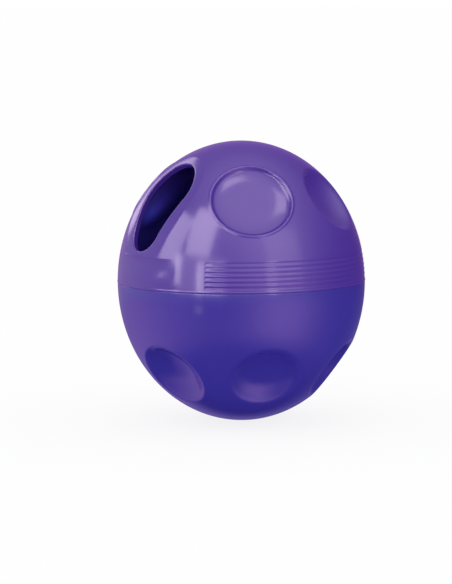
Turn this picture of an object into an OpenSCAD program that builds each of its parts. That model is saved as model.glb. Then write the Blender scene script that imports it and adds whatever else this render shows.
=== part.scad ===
// Treat dispensing ball: an egg shaped plastic ball in two shells, with one treat hole.
// Origin at the centre of the closed ball, +Z along its long axis, treat hole towards -Y.
// Directions round the ball are turns about Z from the treat hole, and a lean is how far a
// feature's outward direction is raised above level.

/* [Body] */
// Height of the closed ball along its long axis
ball_h = 76.2; // [70:0.1:100]
// Width of the ball across the parting line
ball_w = 67.3; // [62:0.1:84]
// Wall thickness of both shells
wall = 2; // [1.6:0.1:2.4]
// Chamfer of the two outer edges that meet at the parting line
seam_chamfer = 0.3; // [0.1:0.05:0.6]

/* [Closure] */
// Height of the neck that plugs into the upper shell
neck_h = 6; // [4:0.1:7.5]
// Wall thickness of the neck
neck_wall = 1.8; // [1.2:0.1:2.4]
// Radial running clearance between the neck and the upper shell
fit_gap = 0.35; // [0.3:0.05:0.5]
// How far the snap bead stands out from the neck
bead_h = 0.2; // [0.1:0.05:0.25]
// Depth below the parting line over which the neck is rooted in the lower shell
root_h = 5; // [4:0.1:7]
// Lead-in chamfer on the top edge of the neck
lead_in = 0.6; // [0.3:0.1:1]

/* [Soft dimples] */
// Radius of a soft dimple where its bowl would meet the skin
dimple_r = 8.8; // [7:0.1:10.2]
// Depth of the bowl below its own edge
dimple_depth = 2.9; // [2:0.1:4.5]
// Radius of the rolled lip round a soft dimple
lip_r = 2.6; // [1:0.1:4]
// Lean of the dimples in the upper shell
upper_lean = 35; // [33:0.5:38]
// Lean of the dimples in the lower shell, below level
lower_lean = 35.5; // [33:0.5:38]
// Number of dimple places round each shell
places = 6; // [5:1:6]
// Turn of the lower dimples against the treat hole
lower_turn = 11.9; // [0:0.1:30]
// Turn of the other upper places against even spacing from the treat hole
upper_turn = 4.5; // [0:0.1:6]

/* [Ringed dishes] */
// Radius of the ring round a dish
dish_r = 10.9; // [8:0.1:11]
// Depth of the dish inside its ring, from edge to middle
dish_depth = 1; // [0.5:0.1:1.5]
// Step down from the ring to the edge of the dish
dish_step = 0.4; // [0.2:0.1:0.8]
// Width of the thin raised ring at its top
ring_w = 0.4; // [0.3:0.05:0.6]
// Height of the raised ring above the skin
ring_h = 0.3; // [0.2:0.05:0.5]
// Lean of the dishes
dish_lean = 36.5; // [33:0.5:38]

/* [Treat hole] */
// Radius of the wide upper end of the hole
hole_top_r = 9.3; // [6:0.1:9.5]
// Radius of the narrow lower end of the hole
hole_low_r = 6.5; // [4:0.1:6.6]
// Distance between the centres of the two ends
hole_span = 11.3; // [8:0.1:12.5]
// Lean of the hole
hole_lean = 33.5; // [30:0.1:38]
// Width of the sunk border round the hole
border_w = 3; // [1:0.1:3.2]
// Depth of the sunk border where it meets the hole
border_depth = 0.6; // [0.3:0.1:1]

/* [Grip band] */
// Number of ribs round the grip band
rib_count = 5; // [3:1:5]
// Spacing of the ribs
rib_pitch = 1.27; // [1:0.01:1.3]
// Height of the lowest rib above the parting line
rib_start = 2.1; // [1.6:0.1:2.3]
// Depth of the grooves that leave the ribs standing
groove_depth = 0.15; // [0.1:0.05:0.3]
// Radius of the round bottom of a groove
groove_r = 0.6; // [0.45:0.05:0.7]
// Half the turn that is left smooth under the treat hole
smooth_turn = 41.4; // [30:0.1:60]

/* [Thumb recess] */
// Height of the ledge at the top of the recess above the parting line
ledge_h = 8.6; // [7.5:0.1:8.8]
// Depth of the recess at its middle
recess_depth = 0.4; // [0.3:0.05:0.6]
// Half the turn that the recess covers
recess_turn = 25; // [20:1:32]
// Step at the ledge, where the skin drops into the recess
ledge_step = 0.1; // [0.05:0.05:0.25]
// Height above the parting line at which the recess runs out
recess_foot = 2.6; // [1.5:0.1:4]

/* [Hidden] */
$fn = 96;
waist_share = 0.985;
arc_steps = 12;
border_steps = 3;
overrun = 1;
outer_a = ball_w / 2;
outer_c = ball_h / 2;
bore_h = neck_h + lead_in;
bore_r = egg_r(wall, bore_h);
neck_r = bore_r - fit_gap;
neck_in_r = neck_r - neck_wall;
bead_z = neck_h / 2;
groove_lift = groove_r - groove_depth;

// Radius at height z of the egg, an inset below the skin
function egg_r(inset, z) = (outer_a - inset) * sqrt(1 - pow(z / (outer_c - inset), 2));

// Points up the side of the egg from height z to its tip, an inset below the skin
function egg_side(inset, z) = [
    for (i = [0:arc_steps])
        let (from = asin(z / (outer_c - inset)), t = from + (90 - from) * i / arc_steps)
            [(outer_a - inset) * cos(t), (outer_c - inset) * sin(t)]];

// Point of the skin whose outward direction has a lean, and how round the skin is there
function lean_size(lean) = norm([outer_a * cos(lean), outer_c * sin(lean)]);
function skin_out(lean) = pow(outer_a, 2) * cos(lean) / lean_size(lean);
function skin_up(lean) = pow(outer_c, 2) * sin(lean) / lean_size(lean);
function skin_r(lean) = (pow(outer_a, 2) / lean_size(lean)
    + pow(outer_a * outer_c, 2) / pow(lean_size(lean), 3)) / 2;
function skin_drop(lean, r) = skin_r(lean) - sqrt(pow(skin_r(lean), 2) - r * r);

// Radius of the sphere that passes through an edge circle and dips by a depth at its middle
function bowl_r(edge, depth) = (edge * edge + depth * depth) / (2 * depth);

// Puts a feature on the skin, its own Z pointing straight out of the ball
module on_skin(turn, lean) {
    rotate([0, 0, turn])
        translate([0, -skin_out(lean), skin_up(lean)])
            rotate([90 - lean, 0, 0])
                children();
}

// Solid half egg above the parting line, with its edge chamfered
module half_egg() {
    rotate_extrude()
        polygon(concat([[0, 0], [outer_a - seam_chamfer, 0]], egg_side(0, seam_chamfer)));
}

// Hollow of the egg above one height, one wall below the skin, open down to a foot outline
module egg_hollow(z, foot) {
    rotate_extrude()
        polygon(concat(foot, egg_side(wall, z)));
}

// Bowl of a soft dimple with its rolled lip, as a cutter
module dimple_cutter(lean) {
    body_r = skin_r(lean);
    sphere_r = bowl_r(dimple_r, dimple_depth);
    mid_z = sphere_r - dimple_depth - skin_drop(lean, dimple_r);
    lip_z = ((body_r - sphere_r - 2 * lip_r) * (body_r + sphere_r) / (body_r + mid_z) - body_r + mid_z) / 2;
    lip_x = sqrt(pow(body_r - lip_r, 2) - pow(lip_z + body_r, 2));
    inner = sphere_r / (sphere_r + lip_r);
    outer = body_r / (body_r - lip_r);
    rim = [lip_x * outer, (lip_z + body_r) * outer - body_r];
    foot = [lip_x * inner, mid_z + (lip_z - mid_z) * inner];
    rotate_extrude()
        difference() {
            union() {
                intersection() {
                    translate([0, mid_z])
                        circle(r = sphere_r);
                    translate([0, foot[1] - sphere_r])
                        square([foot[0], sphere_r]);
                }
                polygon([[0, foot[1]], foot, [lip_x, lip_z], rim, [rim[0], overrun], [0, overrun]]);
            }
            translate([lip_x, lip_z])
                circle(r = lip_r);
        }
}

// Inside face of a soft dimple, one wall behind the bowl
module dimple_back(lean) {
    sphere_r = bowl_r(dimple_r, dimple_depth);
    translate([0, 0, sphere_r - dimple_depth - skin_drop(lean, dimple_r)])
        sphere(r = sphere_r + wall);
}

// Dish with a hollow floor, grown by a wall for the inside face
module dish_form(grow) {
    edge_r = dish_r - ring_w / 2;
    floor_r = bowl_r(edge_r, dish_depth);
    floor_z = floor_r - dish_depth - dish_step - skin_drop(dish_lean, edge_r);
    rotate_extrude()
        difference() {
            translate([0, floor_z - floor_r - grow])
                square([edge_r + grow, floor_r + grow - floor_z + overrun]);
            difference() {
                translate([0, floor_z - 2 * floor_r])
                    square([floor_r, 2 * floor_r]);
                translate([0, floor_z])
                    circle(r = floor_r + grow);
            }
        }
}

// Thin raised ring round a dish
module dish_ring() {
    edge_z = -skin_drop(dish_lean, dish_r);
    rotate_extrude()
        polygon([
            [dish_r - ring_w / 2 - ring_h - dish_step, edge_z - dish_step],
            [dish_r - ring_w / 2, edge_z + ring_h],
            [dish_r + ring_w / 2, edge_z + ring_h],
            [dish_r + ring_w / 2 + ring_h + dish_step, edge_z - dish_step]]);
}

// Outline of the treat hole, a wide round end and a narrow one with straight sides between
module hole_outline() {
    side = acos((hole_top_r - hole_low_r) / hole_span);
    top_y = (hole_span + hole_low_r - hole_top_r) / 2;
    low_y = top_y - hole_span;
    translate([0, top_y])
        circle(r = hole_top_r);
    translate([0, low_y])
        circle(r = hole_low_r);
    top_r = hole_top_r * waist_share;
    low_r = hole_low_r * waist_share;
    polygon([
        [top_r * sin(side), top_y - top_r * cos(side)],
        [-top_r * sin(side), top_y - top_r * cos(side)],
        [-low_r * sin(side), low_y - low_r * cos(side)],
        [low_r * sin(side), low_y - low_r * cos(side)]]);
}

// Sunk border round the treat hole, a row of shallow cones that follows the skin down to the ledge
module hole_border() {
    top_lean = hole_lean + (hole_span + hole_low_r - hole_top_r) / 2 / skin_r(hole_lean) * 180 / PI;
    low_lean = top_lean - hole_span / skin_r(hole_lean) * 180 / PI;
    difference() {
        for (i = [0:border_steps]) {
            lean = low_lean + (top_lean - low_lean) * i / border_steps;
            r = hole_low_r + (hole_top_r - hole_low_r) * i / border_steps;
            edge_z = -skin_drop(lean, r + border_w);
            rise = overrun - edge_z;
            on_skin(0, lean)
                translate([0, 0, edge_z - 2 * border_depth])
                    cylinder(
                        r1 = r - border_w,
                        r2 = r + border_w * (1 + rise / border_depth),
                        h = 2 * border_depth + rise);
        }
        cylinder(r = outer_a + overrun, h = ledge_h);
    }
}

// The treat hole, cut straight through the wall along its own direction
module treat_hole() {
    reach = skin_drop(hole_lean, hole_top_r + hole_span / 2) + 2 * wall;
    on_skin(0, hole_lean)
        translate([0, 0, -reach])
            linear_extrude(height = reach + overrun)
                hole_outline();
}

// Grooves that leave the ribs of the grip band standing, all but the smooth stretch
module rib_grooves() {
    for (i = [0:rib_count]) {
        z = rib_start + rib_pitch * (i - 1 / 2);
        rotate([0, 0, smooth_turn - 90])
            rotate_extrude(angle = 360 - 2 * smooth_turn)
                translate([egg_r(0, z) + groove_lift, z])
                    circle(r = groove_r, $fn = 24);
    }
}

// Hollow for the thumb under the treat hole, round from the ledge to its foot and gone at its ends
module thumb_recess() {
    top = [egg_r(0, ledge_h) - ledge_step, ledge_h];
    foot = [egg_r(0, recess_foot), recess_foot];
    half = norm(top - foot) / 2;
    hollow_r = bowl_r(half, recess_depth);
    out = [top[1] - foot[1], foot[0] - top[0]] / (2 * half);
    middle = (top + foot) / 2 + out * (hollow_r - recess_depth);
    skin = egg_r(0, middle[1]);
    shift = (2 * skin * recess_depth - pow(recess_depth, 2))
        / (2 * skin * (1 - cos(recess_turn)) - 2 * recess_depth);
    intersection() {
        translate([0, shift, middle[1]])
            rotate([0, 0, -90 - recess_turn])
                rotate_extrude(angle = 2 * recess_turn)
                    translate([middle[0] + shift, 0])
                        circle(r = hollow_r);
        cylinder(r = outer_a + overrun, h = ledge_h);
    }
}

// Upper shell: treat hole, ringed dishes, soft dimples, grip band and thumb recess
module upper_shell() {
    color("#6b52a3")
        difference() {
            union() {
                half_egg();
                for (i = [1:2:places - 1])
                    on_skin(i * 360 / places + upper_turn, dish_lean)
                        dish_ring();
            }
            difference() {
                egg_hollow(bore_h, [[0, -overrun], [bore_r, -overrun]]);
                for (i = [1:2:places - 1])
                    on_skin(i * 360 / places + upper_turn, dish_lean)
                        dish_form(wall);
                for (i = [2:2:places - 1])
                    on_skin(i * 360 / places + upper_turn, upper_lean)
                        dimple_back(upper_lean);
            }
            for (i = [1:2:places - 1])
                on_skin(i * 360 / places + upper_turn, dish_lean)
                    dish_form(0);
            for (i = [2:2:places - 1])
                on_skin(i * 360 / places + upper_turn, upper_lean)
                    dimple_cutter(upper_lean);
            hole_border();
            treat_hole();
            rib_grooves();
            thumb_recess();
            rotate_extrude()
                translate([bore_r - fit_gap / 2, bead_z])
                    circle(r = bead_h + fit_gap / 2, $fn = 24);
        }
}

// Lower shell: six soft dimples and the neck that plugs into the upper shell
module lower_shell() {
    root_r = egg_r(wall, root_h);
    color("#4a3a9c")
        difference() {
            union() {
                mirror([0, 0, 1])
                    half_egg();
                cylinder(r = neck_r, h = neck_h - lead_in);
                translate([0, 0, neck_h - lead_in])
                    cylinder(r1 = neck_r, r2 = neck_r - lead_in, h = lead_in);
                rotate_extrude()
                    translate([neck_r - bead_h, bead_z])
                        circle(r = 2 * bead_h, $fn = 24);
            }
            difference() {
                mirror([0, 0, 1])
                    egg_hollow(root_h, [
                        [0, -neck_h - overrun],
                        [neck_in_r, -neck_h - overrun],
                        [neck_in_r, root_h - root_r + neck_in_r]]);
                for (i = [0:places - 1])
                    on_skin(i * 360 / places + lower_turn, -lower_lean)
                        dimple_back(-lower_lean);
            }
            for (i = [0:places - 1])
                on_skin(i * 360 / places + lower_turn, -lower_lean)
                    dimple_cutter(-lower_lean);
        }
}

lower_shell();
upper_shell();
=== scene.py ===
import bpy
import math
import numpy as np
from mathutils import Matrix, Vector


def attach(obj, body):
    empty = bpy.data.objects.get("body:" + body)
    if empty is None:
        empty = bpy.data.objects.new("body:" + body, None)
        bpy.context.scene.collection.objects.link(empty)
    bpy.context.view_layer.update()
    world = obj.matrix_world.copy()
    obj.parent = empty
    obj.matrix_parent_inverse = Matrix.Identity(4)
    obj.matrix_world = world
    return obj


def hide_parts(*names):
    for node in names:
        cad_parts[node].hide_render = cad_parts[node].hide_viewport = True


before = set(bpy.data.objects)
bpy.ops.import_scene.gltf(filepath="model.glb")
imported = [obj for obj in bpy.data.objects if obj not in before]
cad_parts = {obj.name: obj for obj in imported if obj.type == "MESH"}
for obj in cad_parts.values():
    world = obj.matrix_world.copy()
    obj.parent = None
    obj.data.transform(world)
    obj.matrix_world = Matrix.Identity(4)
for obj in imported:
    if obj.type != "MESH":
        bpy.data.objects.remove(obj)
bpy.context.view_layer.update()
print("frame loaded")

# The ball in millimetres: origin in its middle, +Z up its long axis, treat hole towards -Y.
# A turn is in degrees round from the treat hole, a lean in degrees above level.
ball = {
    "width": 67.3,
    "height": 76.2,
    "wall": 2.0,
    "bandTop": 8.75,      # where the dome's patches end and the band begins
    "capHeight": 35.6,    # where the patches end at the crown
    "edgeRound": 0.15,    # rounding of the two edges at the parting line
}
metresPerMm = 0.001

# The hidden closure: a neck on the lower shell with a snap bead, in a bore of the upper shell.
closure = {
    "neckTop": 6.0,
    "neckWall": 1.8,
    "neckFoot": 2.9,      # how far the neck's bore goes down into the lower shell
    "bowlTop": 5.0,       # where the lower shell's inside has come back to the egg
    "fitGap": 0.35,       # between neck and bore
    "boreOver": 0.6,      # how much deeper the bore is than the neck is high
    "boreEdge": 0.25,     # small slope at the bore's mouth
    "rimStep": 0.9,       # one more ring of points on the flat rim
    "beadHeight": 0.2,
    "beadFrom": 2.0,
    "beadMiddle": 3.0,
    "beadBend": 1.0,      # how far round the bead's circle it shows
    "grooveBend": 0.8,
    # the neck's rounded tip: how far in from its outside, and how far below its top
    "tip": ((0.0, 0.7), (0.35, 0.15), (0.7, 0.0), (1.5, 0.0), (1.8, 0.25)),
}

cameraView = {
    "distance": 0.7,
    "turn": 57.9,
    "rise": 6.1702,
    "roll": -0.3705,
    "focalPixels": 2569.3,
    "middle": (241.286, 280.419),
    "frameSize": (452, 584),
    "sensor": 36.0,
    "near": 0.01,
    "far": 1000,
}


def aimCamera():
    turn = math.radians(cameraView["turn"])
    rise = math.radians(cameraView["rise"])
    level = math.cos(rise)
    spot = Vector((math.sin(turn) * level, -math.cos(turn) * level, math.sin(rise)))
    forward = -spot
    right = forward.cross(Vector((0, 0, 1))).normalized()
    up = right.cross(forward)
    roll = math.radians(cameraView["roll"])
    rolledRight = math.cos(roll) * right + math.sin(roll) * up
    rolledUp = math.cos(roll) * up - math.sin(roll) * right
    axes = Matrix((rolledRight, rolledUp, -forward)).transposed().to_4x4()
    data = bpy.data.cameras.new("photoCamera")
    camera = bpy.data.objects.new("photoCamera", data)
    bpy.context.scene.collection.objects.link(camera)
    camera.matrix_world = Matrix.Translation(spot * cameraView["distance"]) @ axes
    wide, high = cameraView["frameSize"]
    data.sensor_fit = "VERTICAL"
    data.sensor_height = cameraView["sensor"]
    data.lens = cameraView["focalPixels"] * cameraView["sensor"] / high
    data.shift_x = (wide / 2 - cameraView["middle"][0]) / high
    data.shift_y = (cameraView["middle"][1] - high / 2) / high
    data.clip_start = cameraView["near"]
    data.clip_end = cameraView["far"]
    bpy.context.scene.camera = camera


aimCamera()
print("camera placed")


def eggHalves(inset=0.0):
    halfWide, halfHigh = ball["width"] / 2 - inset, ball["height"] / 2 - inset
    return np.array([halfWide, halfWide, halfHigh])


def eggRadius(height, inset=0.0):
    halves = eggHalves(inset)
    return halves[0] * np.sqrt(1 - (height / halves[2]) ** 2)


def eggPoint(turn, height, inset=0.0):
    # a turn and a height, on the egg one inset below the skin
    angle, radius = np.radians(turn), eggRadius(height, inset)
    return np.stack([radius * np.sin(angle), -radius * np.cos(angle), height + 0 * angle], axis=-1)


def onEgg(turns, heights, inset=0.0):
    # a grid of points with one row for each height
    return eggPoint(turns[None, :] + 0 * heights[:, None], heights[:, None] + 0 * turns[None, :], inset)


def spotOn(turn, lean):
    # the place on the skin whose outward direction has this turn and lean, with its directions
    t, l = math.radians(turn), math.radians(lean)
    halfWide, _, halfHigh = eggHalves()
    size = math.hypot(halfWide * math.cos(l), halfHigh * math.sin(l))
    reach, height = halfWide ** 2 * math.cos(l) / size, halfHigh ** 2 * math.sin(l) / size
    out = np.array([math.sin(t) * math.cos(l), -math.cos(t) * math.cos(l), math.sin(l)])
    right = np.array([math.cos(t), math.sin(t), 0.0])
    bodyR = (halfWide ** 2 / size + (halfWide * halfHigh) ** 2 / size ** 3) / 2
    return {
        "middle": np.array([reach * math.sin(t), -reach * math.cos(t), height]),
        "out": out,
        "right": right,
        "up": np.cross(out, right),
        "bodyR": bodyR,
    }


def acrossAndUp(spot, points):
    # where points lie as seen along the spot's outward direction: to its right, up and outward
    offset = points - spot["middle"]
    return offset @ spot["right"], offset @ spot["up"], offset @ spot["out"]


def dropOnEgg(spot, across, up, inset=0.0):
    # the point across and up from the spot, moved along its outward direction onto the egg:
    # the larger root of a quadratic, a t squared plus 2 b t plus c
    start = spot["middle"] + across[..., None] * spot["right"] + up[..., None] * spot["up"]
    weights = 1 / eggHalves(inset) ** 2
    a = spot["out"] ** 2 @ weights
    b = (start * weights) @ spot["out"]
    c = start ** 2 @ weights - 1
    travel = (np.sqrt(np.maximum(b * b - a * c, 0)) - b) / a
    return start + travel[..., None] * spot["out"]


def smoothStep(low, high, x):
    t = np.clip((x - low) / (high - low), 0, 1)
    return t * t * (3 - 2 * t)


def softMin(a, b, width):
    # the lower of two heights, rounded where they cross
    h = np.clip(0.5 + 0.5 * (b - a) / width, 0, 1)
    return b * (1 - h) + a * h - width * h * (1 - h)


def skinHeight(spot, r):
    # height of the skin round a spot, taken as a ball of the same mean curve
    return np.sqrt(np.maximum(spot["bodyR"] ** 2 - r * r, 0)) - spot["bodyR"]


dimple = {
    "edge": 9.3,          # radius where the walls would meet the skin
    "rim": 10.9,          # where the rolled lip has left the skin
    "lip": 1.3,           # how soft the lip is, as a height
    "depth": 3.2,         # from the edge to the flat of the floor
    "power": 2.8,         # how flat the floor is and how steep the walls
    "backGrow": 1.5,      # how much wider the boss is inside
    "backSlope": 2.0,     # how fast the boss's form leaves the inside again
    "lipMargin": 0.3,     # one more ring of points outside the lip
    "upperLean": 35.0,
    "lowerLean": -35.5,
    "lowerTurn": 11.9,
    "lowerCount": 6,
}


def dimpleFloor(spot, r):
    # a flat floor whose walls rise as a power of the radius
    edge = math.sqrt(spot["bodyR"] ** 2 - dimple["edge"] ** 2) - spot["bodyR"]
    return edge - dimple["depth"] * (1 - (r / dimple["edge"]) ** dimple["power"])


def dimpleShift(spot, r):
    skin = skinHeight(spot, r)
    return np.where(r < dimple["rim"], softMin(skin, dimpleFloor(spot, r), dimple["lip"]) - skin, 0)


def dimpleBack(spot, r):
    # inside face of a dimple: the same form, wider and one wall deeper
    wide = dimple["edge"] + dimple["backGrow"]
    inner = dimpleFloor(spot, np.minimum(r, wide) * dimple["edge"] / wide)
    return inner - ball["wall"] + dimple["backSlope"] * np.maximum(r - wide, 0)


dish = {
    "ring": 10.95,        # radius of the thin raised ring
    "ringHalf": 0.55,
    "ringHeight": 0.22,
    "edgeDrop": 0.2,      # step down inside the ring
    "blendIn": 0.5,       # the floor turns into the skin from this far inside the ring's foot
    "blendOut": 0.4,      # to this far outside it
    "backMargin": 0.6,
    "backSlope": 2.0,
    "depth": 1.25,
    "power": 4.2,         # how flat the floor is
    "lean": 36.5,
    "turn": 64.5,         # from the hole to the first dish
    "placeTurn": 60.0,    # from a dish to the next dimple
}


def dishFloor(spot, r):
    # nearly flat in the middle and rising as a power of the radius towards the ring
    edge = math.sqrt(spot["bodyR"] ** 2 - dish["ring"] ** 2) - spot["bodyR"]
    return edge - dish["edgeDrop"] - dish["depth"] * (1 - (r / dish["ring"]) ** dish["power"])


def dishShift(spot, r):
    # the floor inside, and a ring that is a raised cosine across its width
    inner = dish["ring"] - dish["ringHalf"]
    blend = smoothStep(inner - dish["blendIn"], inner + dish["blendOut"], r)
    across = np.clip((r - dish["ring"]) / dish["ringHalf"], -1, 1)
    bead = dish["ringHeight"] * 0.5 * (1 + np.cos(np.pi * across))
    return (dishFloor(spot, r) - skinHeight(spot, r)) * (1 - blend) + bead


def dishBack(spot, r):
    # inside face of a dish: its floor one wall deeper, which leaves the inside past the ring
    beyond = np.maximum(r - dish["ring"] - dish["backMargin"], 0)
    return dishFloor(spot, np.minimum(r, dish["ring"])) - ball["wall"] + dish["backSlope"] * beyond


hole = {
    "topR": 8.95,
    "lowR": 6.1,
    "span": 12.0,         # between the middles of its two round ends
    "bulge": 0.45,        # how far its sides swell beyond straight ones
    "bulgeHalf": 9.0,
    "lean": 33.5,
    "borderTop": 3.0,     # width of the sunk border round the wide end
    "borderLow": 4.2,     # and round the narrow end
    "borderDepth": 0.62,
    "crest": 0.45,        # rounding where the border leaves the skin
    "fadeFrom": 1.5,      # the border's form fades out this far past its width
    "fadeTo": 3.5,
    "lipRound": 0.4,
    "firstGuess": 9.0,    # of the outline's reach, which steps of a share then find
    "guessShare": 0.8,
    "guessSteps": 40,
}


def holeDistance(across, up):
    # signed distance to the outline: two circles and their shared tangents, swollen in the middle
    x = np.abs(across)
    y = up - (hole["span"] + hole["lowR"] - hole["topR"]) / 2 + hole["span"]
    b = (hole["lowR"] - hole["topR"]) / hole["span"]
    a = math.sqrt(1 - b * b)
    k = -x * b + y * a
    low = np.hypot(x, y) - hole["lowR"]
    top = np.hypot(x, y - hole["span"]) - hole["topR"]
    side = x * a + y * b - hole["lowR"]
    swell = hole["bulge"] * np.maximum(1 - (up / hole["bulgeHalf"]) ** 2, 0)
    return np.where(k < 0, low, np.where(k > a * hole["span"], top, side)) - swell


def holeReach(angle):
    # how far the outline lies from the middle in each direction
    reach = np.full_like(angle, hole["firstGuess"])
    for _ in range(hole["guessSteps"]):
        miss = holeDistance(reach * np.cos(angle), reach * np.sin(angle))
        reach = reach - hole["guessShare"] * miss
    return reach


def borderWidth(up):
    # the border grows wider from the hole's top end to its low end
    share = smoothStep(hole["span"] / 2, -hole["span"] / 2, up)
    return hole["borderTop"] + (hole["borderLow"] - hole["borderTop"]) * share


def holeShift(spot, across, up, height):
    # a straight slope down to the hole, rounded where it leaves the skin and over the lip
    d = holeDistance(across, up)
    width = borderWidth(up)
    rise = width - np.maximum(d, 0)
    drop = hole["borderDepth"] / width * (np.sqrt(rise ** 2 + (hole["crest"] / 2) ** 2) + rise) / 2
    roll = hole["lipRound"]
    inLip = np.clip(roll - d, 0, roll)
    lip = roll - np.sqrt(np.maximum(roll ** 2 - inLip ** 2, 0))
    fade = smoothStep(width + hole["fadeTo"], width + hole["fadeFrom"], d)
    aboveLedge = smoothStep(band["ledge"], ball["bandTop"] - band["ledgeMargin"], height)
    return -drop * fade * aboveLedge - lip


band = {
    "ribCount": 5,
    "ribPitch": 1.27,
    "firstRib": 2.1,
    "ribHeight": 0.1,
    "smoothTurn": 41.4,   # half of the stretch without ribs
    "ribEnd": 0.25,       # half of the turn over which a rib ends
    "valleyTop": 0.5,     # run-out of the sunk ribbed ground, above and below
    "valleyLow": 0.6,
    "edgeBead": 0.1,
    "beadMiddle": 0.34,
    "beadWidth": 0.18,
    "ledge": 8.62,
    "ledgeMargin": 0.01,
    "scoopMiddle": 5.9,
    "scoopLow": 2.2,
    "scoopDepth": 0.42,
    "scoopTurn": 26.0,
}


def scoopDrop(away, height):
    # deepest a little under the ledge: a parabola up to the crisp ledge, a smooth run-out below,
    # and one more parabola that lets it fade out to both sides
    above = (height - band["scoopMiddle"]) / (band["ledge"] - band["scoopMiddle"])
    below = smoothStep(band["scoopLow"], band["scoopMiddle"], height)
    rise = np.where(height > band["scoopMiddle"], np.maximum(1 - above ** 2, 0), below)
    ends = np.maximum(1 - (away / band["scoopTurn"]) ** 2, 0)
    return band["scoopDepth"] * rise * ends


def edgeBead(height):
    # a small bell-shaped swelling just over the parting line
    return band["edgeBead"] * np.exp(-((height - band["beadMiddle"]) / band["beadWidth"]) ** 2)


def bandShift(turn, height):
    # ribs are a raised cosine up the wall, sunk into it, then the bead and the thumb recess
    away = np.abs((turn + 180) % 360 - 180)
    end, bare = band["ribEnd"], band["smoothTurn"]
    ribbed = smoothStep(bare - end, bare + end, away)
    top = band["firstRib"] + (band["ribCount"] - 0.5) * band["ribPitch"]
    low = band["firstRib"] - 0.5 * band["ribPitch"]
    wave = 0.5 * (1 - np.cos(2 * np.pi * (height - low) / band["ribPitch"]))
    inRibs = (height > low) & (height < top)
    under = smoothStep(low - band["valleyLow"], low, height)
    valley = smoothStep(top + band["valleyTop"], top, height) * under
    ribs = np.where(inRibs, wave - 1, -valley) * band["ribHeight"] * ribbed
    return ribs + edgeBead(height) - scoopDrop(away, height)


class Patches:
    # grids of points collected into one mesh and joined where their edges meet
    def __init__(self):
        self.points, self.faces, self.count = [], [], 0

    def grid(self, rows):
        # rows of points that close into rings
        high, wide = rows.shape[:2]
        here = np.arange(high * wide).reshape(high, wide) + self.count
        beside = np.roll(here, -1, axis=1)
        quads = np.stack([here[:-1], beside[:-1], beside[1:], here[1:]], axis=-1)
        self.points.append(rows.reshape(-1, 3))
        self.faces.append(quads.reshape(-1, 4))
        self.count += high * wide

    def welded(self):
        # points that agree to five decimals become one, and quads that lose a corner triangles
        points, faces = np.vstack(self.points), np.vstack(self.faces)
        _, first, where = np.unique(
            np.round(points, 5), axis=0, return_index=True, return_inverse=True)
        faces = where.reshape(-1)[faces]
        points = points[first]
        repeats = faces == np.roll(faces, -1, axis=1)
        whole = ~repeats.any(axis=1)
        oneRepeat = repeats.sum(axis=1) == 1
        squeezed = faces[oneRepeat]
        keep = ~repeats[oneRepeat]
        triangles = squeezed[keep].reshape(-1, 3)
        return points, faces[whole], triangles


def makeMesh(name, points, quads, triangles):
    mesh = bpy.data.meshes.new(name)
    mesh.vertices.add(len(points))
    mesh.vertices.foreach_set("co", (points * metresPerMm).astype(np.float32).ravel())
    corners = np.concatenate([quads.ravel(), triangles.ravel()])
    sizes = np.concatenate([np.full(len(quads), 4), np.full(len(triangles), 3)])
    starts = np.concatenate([[0], np.cumsum(sizes)[:-1]])
    mesh.loops.add(len(corners))
    mesh.loops.foreach_set("vertex_index", corners.astype(np.int32))
    mesh.polygons.add(len(sizes))
    mesh.polygons.foreach_set("loop_start", starts.astype(np.int32))
    mesh.update(calc_edges=True)
    mesh.validate()
    mesh.shade_smooth()
    mesh.set_sharp_from_angle(angle=math.radians(shellGrid["sharpAngle"]))
    piece = bpy.data.objects.new(name, mesh)
    bpy.context.scene.collection.objects.link(piece)
    return piece


# How finely the shells are drawn: numbers of rows and columns of points, and where they lie.
shellGrid = {
    "upperEdges": (-28, 34, 95.5, 153.5, 215.5, 273.5, 332),   # turns where patches meet
    "upColumns": 48,
    "bandColumns": 54,
    "capColumns": 18,
    "outsideRows": 12,
    "capRows": 16,
    "lipRows": 9,          # over the hole's rounded lip
    "lipReach": 1.02,      # how much past the lip's rounding they go
    "lipShare": 0.6,       # and how much of the way to the patch's edge at most
    "holeRows": 31,
    "holeCrowding": 1.1,   # more than 1 draws them closer to the lip
    "holeBackRows": 11,
    "holeWallRows": 5,
    "backReach": 12.4,     # radius of the round part of the inside's grid
    "backRows": 14,
    "backOuterRows": 7,
    "backHold": 16,        # a feature bends the inside only this near to its middle
    "backBlend": 0.8,      # rounding where its boss meets the inside
    "farSide": -18,        # and nothing deeper than this below its middle
    # radii from and to, and how many, closest where the ring bends most
    "dishRows": ((0, 7, 12), (7.5, 10.1, 8), (10.22, 10.7, 6), (10.95, 11.6, 6)),
    "dimpleRows": (20, 18),   # on its floor and up its wall
    "ribEndTurns": (-0.3, -0.15, 0, 0.15, 0.3),   # more columns where the ribs end
    "underLedge": (0.02, 0.05, 0.1, 0.17),        # and rows close below the ledge
    "overLedgeRows": 6,
    "overRibRows": 6,
    "overRibs": 0.2,       # as a share of the ribs' pitch
    "ribRows": 56,
    "ribFoot": 1.1,        # height below the lowest rib
    "seamRows": 12,
    # heights where the lower shell's wide rows end and its close ones begin
    "lowerFoot": (1.0, 0.8),
    "lowerRows": 14,
    "lowerSeamRows": 4,
    "bendRows": 6,
    "beadRows": 7,
    "boreRows": 5,
    "bowlRows": 4,
    "sharpAngle": 38,
}


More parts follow.
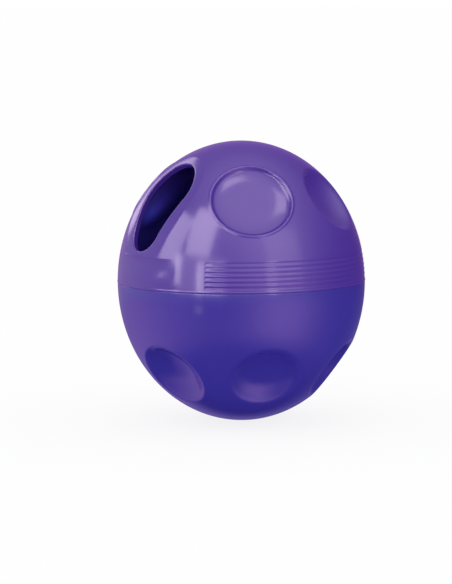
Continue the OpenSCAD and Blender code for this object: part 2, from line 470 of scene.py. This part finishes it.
def sectorLoop(startTurn, endTurn, inset, extraTurns):
    # once round a sector: along the band, up one side, back along the cap and down the other side
    halfHigh = eggHalves(inset)[2]
    low, high = ball["bandTop"], ball["capHeight"] * halfHigh / eggHalves()[2]
    lowStep, highStep = math.asin(low / halfHigh), math.asin(high / halfHigh)
    heights = halfHigh * np.sin(np.linspace(lowStep, highStep, shellGrid["upColumns"] + 1))
    heights[0], heights[-1] = low, high
    evenTurns = np.linspace(startTurn, endTurn, shellGrid["bandColumns"] + 1)
    bandTurns = np.unique(np.concatenate([evenTurns, extraTurns]))
    capTurns = np.linspace(startTurn, endTurn, shellGrid["capColumns"] + 1)
    along = eggPoint(bandTurns[:-1], np.full(len(bandTurns) - 1, low), inset)
    up = eggPoint(np.full(len(heights) - 1, endTurn), heights[:-1], inset)
    back = eggPoint(capTurns[:0:-1], np.full(len(capTurns) - 1, high), inset)
    down = eggPoint(np.full(len(heights) - 1, startTurn), heights[:0:-1], inset)
    return np.vstack([along, up, back, down]), bandTurns[:-1]


def featureRows(feature):
    # radii of the rings of points inside a feature, closest where the surface bends most
    if feature["kind"] == "dish":
        return np.concatenate([np.linspace(*rows) for rows in shellGrid["dishRows"]])
    foot, rim = dimple["edge"] - dimple["lip"], dimple["rim"]
    floorRows, wallRows = shellGrid["dimpleRows"]
    wall = np.linspace(foot, rim, wallRows)[1:]
    return np.concatenate([np.linspace(0, foot, floorRows), wall, [rim + dimple["lipMargin"]]])


def skinShift(points, features):
    # how far every feature near a point moves it, each along its own outward direction
    total = np.zeros_like(points)
    for feature in features:
        spot = feature["spot"]
        across, up, out = acrossAndUp(spot, points)
        near = out > shellGrid["farSide"]
        r = np.hypot(across, up)
        if feature["kind"] == "dish":
            move = np.where(r > dish["ring"] + dish["ringHalf"], 0, dishShift(spot, r))
        elif feature["kind"] == "dimple":
            move = dimpleShift(spot, r)
        else:
            move = holeShift(spot, across, up, points[..., 2])
        total += np.where(near, move, 0)[..., None] * spot["out"]
    return total


def insideShift(points, features):
    # how far the bosses behind dimples and dishes move a point of the inside
    total = np.zeros_like(points)
    for feature in features:
        spot = feature["spot"]
        if feature["kind"] == "hole":
            continue
        across, up, out = acrossAndUp(spot, points)
        r = np.hypot(across, up)
        back = dishBack(spot, r) if feature["kind"] == "dish" else dimpleBack(spot, r)
        move = softMin(out, back, shellGrid["backBlend"]) - out
        near = (out > shellGrid["farSide"]) & (r < shellGrid["backHold"])
        total += np.where(near, move, 0)[..., None] * spot["out"]
    return total


def holeOutside(spot, angle, across, up):
    # rows from the hole's outline over its lip and on to the patch's edge
    reach = holeReach(angle)
    span = np.hypot(across, up) - reach
    bends = 1 - np.cos(np.linspace(0, np.pi / 2, shellGrid["lipRows"]))
    lipSpan = np.minimum(hole["lipRound"] * shellGrid["lipReach"], span * shellGrid["lipShare"])
    firstRows = bends[:, None] * lipSpan[None]
    left = (span - firstRows[-1])[None]
    share = np.linspace(0, 1, shellGrid["holeRows"])[1:, None] ** shellGrid["holeCrowding"]
    rows = np.vstack([firstRows, firstRows[-1:] + share * left]) + reach[None]
    return dropOnEgg(spot, rows * np.cos(angle), rows * np.sin(angle))


def roundOutside(feature, angle, across, up):
    # rings from a feature's middle to its rim, then rows on to the patch's edge
    spot = feature["spot"]
    radii = featureRows(feature)
    inner = dropOnEgg(spot, radii[:, None] * np.cos(angle), radii[:, None] * np.sin(angle))
    span = np.hypot(across, up) - radii[-1]
    share = np.linspace(0, 1, shellGrid["outsideRows"] + 1)[1:, None]
    rows = radii[-1] + share * span[None]
    outer = dropOnEgg(spot, rows * np.cos(angle), rows * np.sin(angle))
    return np.concatenate([inner, outer])


def holeInside(spot, angle, across, up):
    reach = holeReach(angle)
    share = np.linspace(0, 1, shellGrid["holeBackRows"])[:, None]
    edgeAcross, edgeUp = reach * np.cos(angle), reach * np.sin(angle)
    rowsAcross = edgeAcross + share * (across - edgeAcross)
    rowsUp = edgeUp + share * (up - edgeUp)
    return dropOnEgg(spot, rowsAcross, rowsUp, ball["wall"])


def roundInside(spot, angle, across, up):
    radii = np.linspace(0, shellGrid["backReach"], shellGrid["backRows"])
    rim = radii[:, None, None] * np.stack([np.cos(angle), np.sin(angle)], axis=-1)
    share = np.linspace(0, 1, shellGrid["backOuterRows"])[1:, None, None]
    target = np.stack([across, up], axis=-1)
    flat = np.concatenate([rim, rim[-1] + share * (target - rim[-1])])
    return dropOnEgg(spot, flat[..., 0], flat[..., 1], ball["wall"])


def buildDome(patches, features, edges, extraTurns):
    # one patch round each feature, outside and inside with the same columns
    bandTurns = []
    for number, feature in enumerate(features):
        spot, isHole = feature["spot"], feature["kind"] == "hole"
        start, end = edges[number], edges[number + 1]
        extra = [t for t in extraTurns if start < t < end]
        loop, turns = sectorLoop(start, end, 0.0, extra)
        bandTurns.append(turns)
        across, up, _ = acrossAndUp(spot, loop)
        angle = np.arctan2(up, across)
        if isHole:
            outside = holeOutside(spot, angle, across, up)
        else:
            outside = roundOutside(feature, angle, across, up)
        outside[-1] = loop
        skin = outside + skinShift(outside, features)
        insideLoop, _ = sectorLoop(start, end, ball["wall"], extra)
        across, up, _ = acrossAndUp(spot, insideLoop)
        inside = (holeInside if isHole else roundInside)(spot, angle, across, up)
        inside[-1] = insideLoop
        lining = inside + insideShift(inside, features)
        if isHole:
            wallShare = np.linspace(0, 1, shellGrid["holeWallRows"])[:, None, None]
            patches.grid(lining[0] + wallShare * (skin[0] - lining[0]))
        patches.grid(skin)
        patches.grid(lining[::-1])
    return np.concatenate(bandTurns)


def buildCap(patches, edges, features):
    # the crown: rings of points from the patches' top edge to the pole, outside and inside
    for inset, isInside in ((0.0, False), (ball["wall"], True)):
        halfHigh = eggHalves(inset)[2]
        high = ball["capHeight"] * halfHigh / eggHalves()[2]
        turns = np.concatenate([
            np.linspace(a, b, shellGrid["capColumns"] + 1)[:-1]
            for a, b in zip(edges[:-1], edges[1:])])
        steps = np.linspace(math.asin(high / halfHigh), math.pi / 2, shellGrid["capRows"] + 1)
        heights = halfHigh * np.sin(steps)
        heights[0] = high
        heights[-1] = halfHigh
        rows = onEgg(turns, heights, inset)
        rows[-1] = (0, 0, halfHigh)
        rows = rows + (insideShift if isInside else skinShift)(rows, features)
        patches.grid(rows[::-1] if isInside else rows)


def ring(turns, radius, height):
    angle = np.radians(turns)
    rounds = [radius * np.sin(angle), -radius * np.cos(angle), height + 0 * angle]
    return np.stack(rounds, axis=-1)


def roundedEdge(turns, outer):
    # a quarter circle from the skin down to the flat rim at the parting line
    rounding = ball["edgeRound"]
    return [ring(turns, outer - rounding * (1 - math.cos(t)), rounding - rounding * math.sin(t))
            for t in np.linspace(0, math.pi / 2, shellGrid["bendRows"])[1:]]


def insideRings(turns, fromHeight, count):
    # up the inside of the egg to where the patches begin
    heights = np.linspace(fromHeight, ball["bandTop"], count)
    return [ring(turns, float(eggRadius(height, ball["wall"])), height) for height in heights]


def addBand(patches, outside, inside, features):
    # the wall between the patches and the parting line, from its outside round to its inside
    lower = np.stack(inside)
    lower[-1] = lower[-1] + insideShift(lower[-1], features)
    patches.grid(np.concatenate([outside, lower])[::-1])


def upperFeatures():
    # the hole, then dish and dimple in turn all the way round
    features = [{"kind": "hole", "spot": spotOn(0, hole["lean"])}]
    for number, kind in enumerate(("dish", "dimple", "dish", "dimple", "dish")):
        lean = dish["lean"] if kind == "dish" else dimple["upperLean"]
        turn = dish["turn"] + number * dish["placeTurn"]
        features.append({"kind": kind, "spot": spotOn(turn, lean)})
    return features


def upperBandHeights():
    top = band["firstRib"] + (band["ribCount"] + shellGrid["overRibs"]) * band["ribPitch"]
    underLedge = band["ledge"] - np.array(shellGrid["underLedge"])
    heights = np.concatenate([
        np.linspace(ball["bandTop"], band["ledge"], shellGrid["overLedgeRows"]),
        underLedge,
        np.linspace(underLedge[-1], top, shellGrid["overRibRows"]),
        np.linspace(top, shellGrid["ribFoot"], shellGrid["ribRows"]),
        np.linspace(shellGrid["ribFoot"], ball["edgeRound"], shellGrid["seamRows"])])
    return np.unique(np.round(heights, 4))[::-1]


def upperPoints():
    features = upperFeatures()
    edges = shellGrid["upperEdges"]
    extra = [turn + step for turn in (band["smoothTurn"], 360 - band["smoothTurn"])
             for step in shellGrid["ribEndTurns"]]
    extra += [-band["scoopTurn"], band["scoopTurn"]]
    patches = Patches()
    turns = buildDome(patches, features, edges, extra)
    buildCap(patches, edges, features)
    heights = upperBandHeights()
    grid = onEgg(turns, heights)
    grid = grid + skinShift(grid, features)
    outward = grid * np.array([1, 1, 0])
    outward /= np.linalg.norm(outward, axis=-1, keepdims=True)
    grid = grid + bandShift(turns[None, :], heights[:, None])[..., None] * outward
    # rounded edge, flat rim, bore with its groove, and back up inside to the patches
    boreTop = closure["neckTop"] + closure["boreOver"]
    bore = float(eggRadius(boreTop, ball["wall"]))
    mouth, gap = closure["boreEdge"], closure["fitGap"]
    rim = roundedEdge(turns, float(eggRadius(ball["edgeRound"]) + edgeBead(ball["edgeRound"])))
    rim += [ring(turns, bore + closure["rimStep"], 0.0), ring(turns, bore + mouth, 0.0)]
    rim += [ring(turns, bore, mouth)]
    groove, bend = closure["beadHeight"] + gap / 2, closure["grooveBend"]
    middle = closure["neckTop"] / 2
    rim += [ring(turns, bore - gap / 2 + groove * math.cos(t), middle + groove * math.sin(t))
            for t in np.linspace(-bend, bend, shellGrid["beadRows"])]
    rim += [ring(turns, bore, boreTop)]
    rim += insideRings(turns, boreTop, shellGrid["boreRows"])[1:]
    addBand(patches, grid, rim, features)
    return patches.welded()


def lowerPoints():
    # made the same way up as the upper shell and then turned over
    step = 360 / dimple["lowerCount"]
    places = [dimple["lowerTurn"] + number * step for number in range(dimple["lowerCount"])]
    features = [{"kind": "dimple", "spot": spotOn(turn, -dimple["lowerLean"])} for turn in places]
    edges = [turn - step / 2 for turn in places] + [places[-1] + step / 2]
    patches = Patches()
    turns = buildDome(patches, features, edges, [])
    buildCap(patches, edges, features)
    foot, seamTop = shellGrid["lowerFoot"]
    heights = np.concatenate([
        np.linspace(ball["bandTop"], foot, shellGrid["lowerRows"]),
        np.linspace(seamTop, ball["edgeRound"], shellGrid["lowerSeamRows"])])
    grid = onEgg(turns, heights)
    grid = grid + skinShift(grid, features)
    # rounded edge, flat rim, neck with its bead and tip, and its bore down to the inside
    boreTop = closure["neckTop"] + closure["boreOver"]
    neck = float(eggRadius(boreTop, ball["wall"])) - closure["fitGap"]
    bead, bend = closure["beadHeight"], closure["beadBend"]
    rim = roundedEdge(turns, float(eggRadius(ball["edgeRound"])))
    rim += [ring(turns, neck, 0.0), ring(turns, neck, -closure["beadFrom"])]
    middle, beadRound = closure["beadMiddle"], 2 * bead
    rim += [ring(turns, neck - bead + beadRound * math.cos(t), -middle - beadRound * math.sin(t))
            for t in np.linspace(-bend, bend, shellGrid["beadRows"])]
    rim += [ring(turns, neck - inward, down - closure["neckTop"]) for inward, down in closure["tip"]]
    rim += [ring(turns, neck - closure["neckWall"], closure["neckFoot"])]
    rim += insideRings(turns, closure["bowlTop"], shellGrid["bowlRows"])
    addBand(patches, grid, rim, features)
    points, quads, triangles = patches.welded()
    return points * np.array([1, 1, -1]), quads[:, ::-1], triangles[:, ::-1]


upperPiece = makeMesh("upperShellPlastic", *upperPoints())
print("upper shell:", len(upperPiece.data.polygons), "faces")
lowerPiece = makeMesh("lowerShellPlastic", *lowerPoints())
print("lower shell:", len(lowerPiece.data.polygons), "faces")


def fromHex(text):
    # sRGB hex to the linear colour that the shader wants
    parts = [int(text[i:i + 2], 16) / 255 for i in (1, 3, 5)]
    return tuple([p / 12.92 if p <= 0.04045 else ((p + 0.055) / 1.055) ** 2.4 for p in parts] + [1.0])


def addNode(tree, kind, settings=None, links=None):
    # one node with its settings and, for its inputs, fixed values or links from other sockets
    node = tree.nodes.new(kind)
    for name, value in (settings or {}).items():
        setattr(node, name, value)
    for name, value in (links or {}).items():
        if isinstance(value, bpy.types.NodeSocket):
            tree.links.new(value, node.inputs[name])
        else:
            node.inputs[name].default_value = value
    return node


plasticLooks = {
    "upperHex": "#492C97",
    # the lower shell is the same purple plastic, its colour painted darker and bluer as shade on the
    # half that faces down
    "lowerShadedHex": "#382E99",
    "shadeShift": 0.04,   # how much the colour varies in the moulding
    "flowMm": 14.0,       # size of the soft colour clouds
    "flowDetail": 2.0,
    "grainMm": 0.6,       # size of the faint mould texture
    "grainDetail": 1.0,
    "roughness": 0.165,
    "roughSpread": 0.015,
    "cloudRange": (0.3, 0.7),   # of the clouds, over which the roughness changes
    "waveStrength": 0.03,
    "waveDepth": 0.00005,
    "ior": 1.5,
}


def glossyMouldedPlastic(name, colour):
    # Glossy ABS from a polished mould: one even colour and a very faint waviness of its skin
    material = bpy.data.materials.new(name)
    material.use_nodes = True
    tree = material.node_tree
    tree.nodes.clear()
    where = addNode(tree, "ShaderNodeTexCoord").outputs["Object"]
    clouds = addNode(tree, "ShaderNodeTexNoise", None, {
        "Vector": where, "Scale": 1 / (plasticLooks["flowMm"] * metresPerMm),
        "Detail": plasticLooks["flowDetail"]})
    base = fromHex(colour)
    light = tuple([c * (1 + plasticLooks["shadeShift"]) for c in base[:3]] + [1.0])
    dark = tuple([c * (1 - plasticLooks["shadeShift"]) for c in base[:3]] + [1.0])
    tint = addNode(tree, "ShaderNodeMix", {"data_type": "RGBA"}, {
        0: clouds.outputs["Fac"], 6: dark, 7: light})
    grain = addNode(tree, "ShaderNodeTexNoise", None, {
        "Vector": where, "Scale": 1 / (plasticLooks["grainMm"] * metresPerMm),
        "Detail": plasticLooks["grainDetail"]})
    cloudLow, cloudHigh = plasticLooks["cloudRange"]
    gloss = addNode(tree, "ShaderNodeMapRange", None, {
        "Value": clouds.outputs["Fac"], "From Min": cloudLow, "From Max": cloudHigh,
        "To Min": plasticLooks["roughness"] - plasticLooks["roughSpread"],
        "To Max": plasticLooks["roughness"] + plasticLooks["roughSpread"]})
    waves = addNode(tree, "ShaderNodeBump", None, {
        "Strength": plasticLooks["waveStrength"], "Distance": plasticLooks["waveDepth"],
        "Height": grain.outputs["Fac"]})
    shader = addNode(tree, "ShaderNodeBsdfPrincipled", None, {
        "Base Color": tint.outputs[2], "Roughness": gloss.outputs["Result"],
        "IOR": plasticLooks["ior"], "Normal": waves.outputs["Normal"]})
    addNode(tree, "ShaderNodeOutputMaterial", None, {"Surface": shader.outputs["BSDF"]})
    return material


upperPiece.data.materials.append(glossyMouldedPlastic("glossyPurpleAbs", plasticLooks["upperHex"]))
# the same plastic again for the lower shell, with painted shade in its colour
lowerPiece.data.materials.append(glossyMouldedPlastic("glossyPurpleAbsShadedBelow", plasticLooks["lowerShadedHex"]))
for piece, node, body in (
        (upperPiece, "upper_shell", "upper_half"),
        (lowerPiece, "lower_shell", "lower_half")):
    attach(piece, body)
    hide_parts(node)
print("materials given")

# Directions here are turns to the right as the camera sees them from the ball, and rises above level.
# Strengths are in whites: 1 is the white of the background.
studio = {
    "fill": 1.0,           # even light on matt surfaces
    "horizon": (-0.24, -0.08),   # heights of a direction, where the low glows give way to the high
    "depth": (-0.82, -0.55),     # and where the low glows begin
    "floorHex": "#FAFAFA",
    "floorHeight": -0.0382,
    "floorReach": 60.0,
    "whiteShare": 0.85,    # how much of the seen floor is plain white
    "bounce": 0.45,        # how much of its bounced light ignores the ball's shade
    "panelAway": 1.0,
    "panelTint": (1.0, 0.84, 0.93),
    "insideTint": (0.35, 0.8, 0.75),   # the glow inside the hollow
    "insidePower": 0.002,
    "insideSize": 0.006,
    "insideTurn": -98.0,
    "insidePlace": (0.021, 0.016),     # away from the axis, and height
}
panels = [
    # name, turn, rise, width and height in degrees, strength
    ("windowLeftPane", -73, 26, 23, 34, 5.0),
    ("windowRightPane", -43, 36, 24, 34, 6.0),
    ("windowStrip", -38.5, 4, 5, 22, 7.5),
    ("windowLowStrip", -60.5, 8, 6, 18, 6.5),
    ("windowSpot", -40, -17, 6, 5, 1.8),
    ("windowHaze", -38, 6, 48, 26, 1.5),
    ("windowCurtain", -26, 4, 20, 22, 2.4),
    ("windowFarPane", -142, 23, 15, 26, 2.4),
    ("rightSoftBox", 42, 23, 32, 26, 0.8),
    ("rightSmallBox", 28, 4, 9, 16, 5.0),
    ("overheadLeft", -15, 66, 16, 18, 3.5),
    ("overheadRight", 31, 48, 15, 12, 4.0),
]
# soft glows of the studio in glossy surfaces: turn, rise, tightness, colour
glowsAbove = [
    (20, 72, 6.4, (2.5, 2.0, 2.3)),
    (0, 8, 3.0, (1.15, 0.92, 1.05)),
    (38, 22, 16.0, (1.5, 1.2, 1.4)),
    (-95, 0, 7.0, (0.9, 0.8, 0.85)),
    (180, 10, 9.0, (0.25, 0.12, 0.4)),
    (-140, 10, 9.0, (0.3, 0.2, 0.35)),
]
glowsBelow = [
    (180, -30, 5.0, (0.18, 0.14, 0.45)),
    (40, -20, 11.0, (2.2, 1.2, 1.75)),
    (-95, -18, 6.0, (1.1, 0.6, 0.9)),
    (-45, -22, 6.0, (0.25, 0.12, 0.2)),
]


def direction(turn, rise):
    t, r = math.radians(turn + cameraView["turn"]), math.radians(rise)
    return Vector((math.sin(t) * math.cos(r), -math.cos(t) * math.cos(r), math.sin(r)))


def addPanel(name, turn, rise, wide, high, strength):
    # a soft box of a width and height in degrees, seen from the ball, that shows only in its gloss
    away = studio["panelAway"]
    data = bpy.data.lights.new(name, "AREA")
    data.shape = "RECTANGLE"
    data.size = 2 * away * math.tan(math.radians(wide / 2))
    data.size_y = 2 * away * math.tan(math.radians(high / 2))
    data.color = studio["panelTint"]
    data.energy = strength * math.pi * data.size * data.size_y
    panel = bpy.data.objects.new(name, data)
    bpy.context.scene.collection.objects.link(panel)
    place = direction(turn, rise)
    panel.rotation_euler = place.to_track_quat("Z", "Y").to_euler()
    panel.location = place * away
    panel.visible_diffuse = False


for panel in panels:
    addPanel(*panel)


def addInsideGlow():
    # stands for the light that soaks through the thin wall into the hollow
    data = bpy.data.lights.new("insideGlow", "POINT")
    data.color = studio["insideTint"]
    data.energy = studio["insidePower"]
    data.shadow_soft_size = studio["insideSize"]
    glow = bpy.data.objects.new("insideGlow", data)
    bpy.context.scene.collection.objects.link(glow)
    turn = math.radians(studio["insideTurn"] + cameraView["turn"])
    reach, height = studio["insidePlace"]
    glow.location = (math.sin(turn) * reach, -math.cos(turn) * reach, height)
    glow.visible_glossy = False


addInsideGlow()


def addGlow(tree, where, turn, rise, tightness, colour):
    # the colour times half of one plus the cosine to the glow's middle, raised to a power
    facing = addNode(tree, "ShaderNodeVectorMath", {"operation": "DOT_PRODUCT"}, {
        0: where, 1: direction(turn, rise)})
    half = addNode(tree, "ShaderNodeMath", {"operation": "MULTIPLY_ADD"}, {
        0: facing.outputs["Value"], 1: 0.5, 2: 0.5})
    power = addNode(tree, "ShaderNodeMath", {"operation": "POWER"}, {0: half.outputs[0], 1: tightness})
    glow = addNode(tree, "ShaderNodeVectorMath", {"operation": "SCALE"}, {
        0: colour, "Scale": power.outputs[0]})
    return glow.outputs["Vector"]


def addAll(tree, colours):
    total = colours[0]
    for colour in colours[1:]:
        both = addNode(tree, "ShaderNodeVectorMath", {"operation": "ADD"}, {0: total, 1: colour})
        total = both.outputs["Vector"]
    return total


def rampUp(tree, height, ends):
    ramp = addNode(tree, "ShaderNodeMapRange", {"interpolation_type": "SMOOTHSTEP"}, {
        "Value": height, "From Min": ends[0], "From Max": ends[1], "To Min": 0.0, "To Max": 1.0})
    return ramp.outputs["Result"]


def softSky():
    # camera and clear rays see white, matt surfaces an even light, and gloss the studio's glows
    world = bpy.data.worlds.new("studioSky")
    bpy.context.scene.world = world
    world.use_nodes = True
    tree = world.node_tree
    tree.nodes.clear()
    path = addNode(tree, "ShaderNodeLightPath")
    where = addNode(tree, "ShaderNodeTexCoord").outputs["Generated"]
    height = addNode(tree, "ShaderNodeSeparateXYZ", None, {"Vector": where}).outputs["Z"]
    above = addAll(tree, [addGlow(tree, where, *glow) for glow in glowsAbove])
    below = addAll(tree, [addGlow(tree, where, *glow) for glow in glowsBelow])
    lowGlow = addNode(tree, "ShaderNodeVectorMath", {"operation": "SCALE"}, {
        0: below, "Scale": rampUp(tree, height, studio["depth"])})
    glows = addNode(tree, "ShaderNodeMix", {"data_type": "VECTOR"}, {
        0: rampUp(tree, height, studio["horizon"]), 4: lowGlow.outputs["Vector"], 5: above})
    seen = addNode(tree, "ShaderNodeMath", {"operation": "MAXIMUM"}, {
        0: path.outputs["Is Camera Ray"], 1: path.outputs["Is Transmission Ray"]})
    fill = studio["fill"]
    gloss = addNode(tree, "ShaderNodeMix", {"data_type": "VECTOR"}, {
        0: path.outputs["Is Glossy Ray"], 4: (fill, fill, fill), 5: glows.outputs[1]})
    light = addNode(tree, "ShaderNodeMix", {"data_type": "VECTOR"}, {
        0: seen.outputs[0], 4: gloss.outputs[1], 5: (1, 1, 1)})
    shade = addNode(tree, "ShaderNodeBackground", None, {"Color": light.outputs[1], "Strength": 1.0})
    addNode(tree, "ShaderNodeOutputWorld", None, {"Surface": shade.outputs["Background"]})


softSky()


def paleFloor():
    # white to the camera apart from a soft shadow, pale to matt surfaces, clear to glossy rays
    mesh = bpy.data.meshes.new("paleFloor")
    reach, height = studio["floorReach"], studio["floorHeight"]
    corners = [(x * reach, y * reach, height) for x, y in ((-1, -1), (1, -1), (1, 1), (-1, 1))]
    mesh.from_pydata(corners, [], [(0, 1, 2, 3)])
    floor = bpy.data.objects.new("paleFloor", mesh)
    bpy.context.scene.collection.objects.link(floor)
    material = bpy.data.materials.new("paleFloorPaint")
    material.use_nodes = True
    tree = material.node_tree
    tree.nodes.clear()
    path = addNode(tree, "ShaderNodeLightPath")
    paint = addNode(tree, "ShaderNodeBsdfDiffuse", None, {"Color": fromHex(studio["floorHex"])})
    white = addNode(tree, "ShaderNodeEmission", None, {"Color": (1, 1, 1, 1), "Strength": 1.0})
    clear = addNode(tree, "ShaderNodeBsdfTransparent")
    seen = addNode(tree, "ShaderNodeMath", {"operation": "MAXIMUM"}, {
        0: path.outputs["Is Camera Ray"], 1: path.outputs["Is Transmission Ray"]})
    lit = addNode(tree, "ShaderNodeMath", {"operation": "MULTIPLY"}, {
        0: path.outputs["Is Diffuse Ray"], 1: studio["bounce"]})
    mostly = addNode(tree, "ShaderNodeMath", {"operation": "MULTIPLY_ADD"}, {
        0: seen.outputs[0], 1: studio["whiteShare"], 2: lit.outputs[0]})
    glossy = addNode(tree, "ShaderNodeMixShader", None, {
        0: path.outputs["Is Glossy Ray"], 1: paint.outputs["BSDF"], 2: clear.outputs["BSDF"]})
    mixed = addNode(tree, "ShaderNodeMixShader", None, {
        0: mostly.outputs[0], 1: glossy.outputs["Shader"], 2: white.outputs["Emission"]})
    addNode(tree, "ShaderNodeOutputMaterial", None, {"Surface": mixed.outputs["Shader"]})
    mesh.materials.append(material)


paleFloor()
bpy.context.scene.view_settings.view_transform = "Standard"
print("studio lit")
